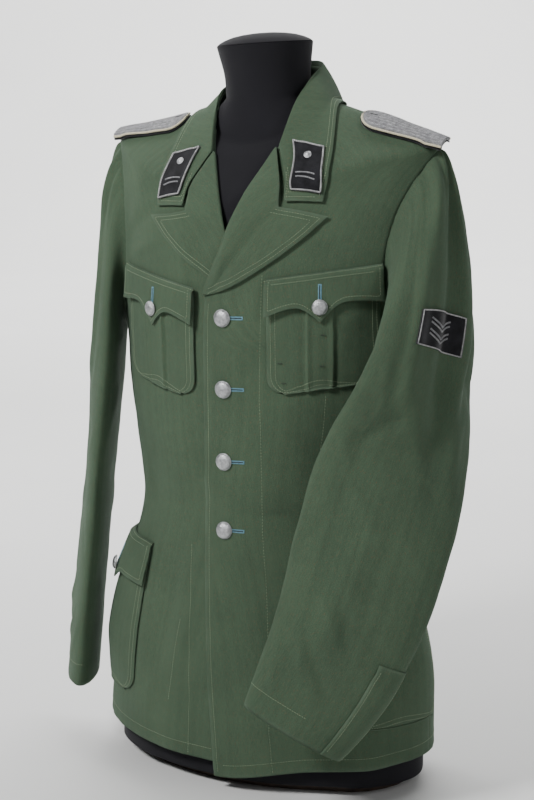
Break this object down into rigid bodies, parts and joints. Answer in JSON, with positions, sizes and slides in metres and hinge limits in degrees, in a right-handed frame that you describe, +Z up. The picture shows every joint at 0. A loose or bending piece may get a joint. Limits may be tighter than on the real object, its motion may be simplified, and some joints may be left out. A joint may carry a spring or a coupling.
{
  "type": "military jacket on dress form",
  "caption": "Single-breasted green field jacket with open lapels, four flapped patch pockets, shoulder straps and long sleeves, buttoned on a dark limbless dress form.",
  "frame": {"origin": "centre of the dress form's foot plate, on the surface it stands on", "axes": "+Z up through the neck, -Y out of the jacket's front, +X to the wearer's left"},
  "size_m": [0.5286, 0.3089, 0.8387],
  "materials": {
    "green_cloth": "matt cotton and wool drill, fine twill, green",
    "button_alloy": "pebbled, matt silver grey",
    "badge_felt": "black felt",
    "silver_braid": "flat silver grey braid in lengthwise rows",
    "form_cloth": "matt black jersey over a light shell",
    "foot_wood": "dark stained"
  },
  "bodies": {
    "root": {"back": "green_cloth", "chest_button_left": "button_alloy", "chest_button_right": "button_alloy", "chest_flap_left": "green_cloth", "chest_flap_right": "green_cloth", "chest_pocket_left": "green_cloth", "chest_pocket_right": "green_cloth", "collar_fall": "green_cloth", "collar_stand": "green_cloth", "collar_tab_left": "badge_felt", "collar_tab_right": "badge_felt", "cuff_placket_left": "green_cloth", "cuff_placket_right": "green_cloth", "form_foot_plate": "foot_wood", "form_neck_cap": "form_cloth", "form_torso": "form_cloth", "front_button_1": "button_alloy", "front_button_2": "button_alloy", "front_button_3": "button_alloy", "front_button_4": "button_alloy", "front_left": "green_cloth", "front_right": "green_cloth", "hip_button_left": "button_alloy", "hip_button_right": "button_alloy", "hip_flap_left": "green_cloth", "hip_flap_right": "green_cloth", "hip_pocket_left": "green_cloth", "hip_pocket_right": "green_cloth", "lapel_left": "green_cloth", "lapel_right": "green_cloth", "sleeve_left": "green_cloth", "sleeve_patch": "badge_felt", "sleeve_right": "green_cloth", "strap_base_left": "badge_felt", "strap_base_right": "badge_felt", "strap_braid_left": "silver_braid", "strap_braid_right": "silver_braid", "strap_loop_left": "green_cloth", "strap_loop_right": "green_cloth"}
  },
  "joints": []
}
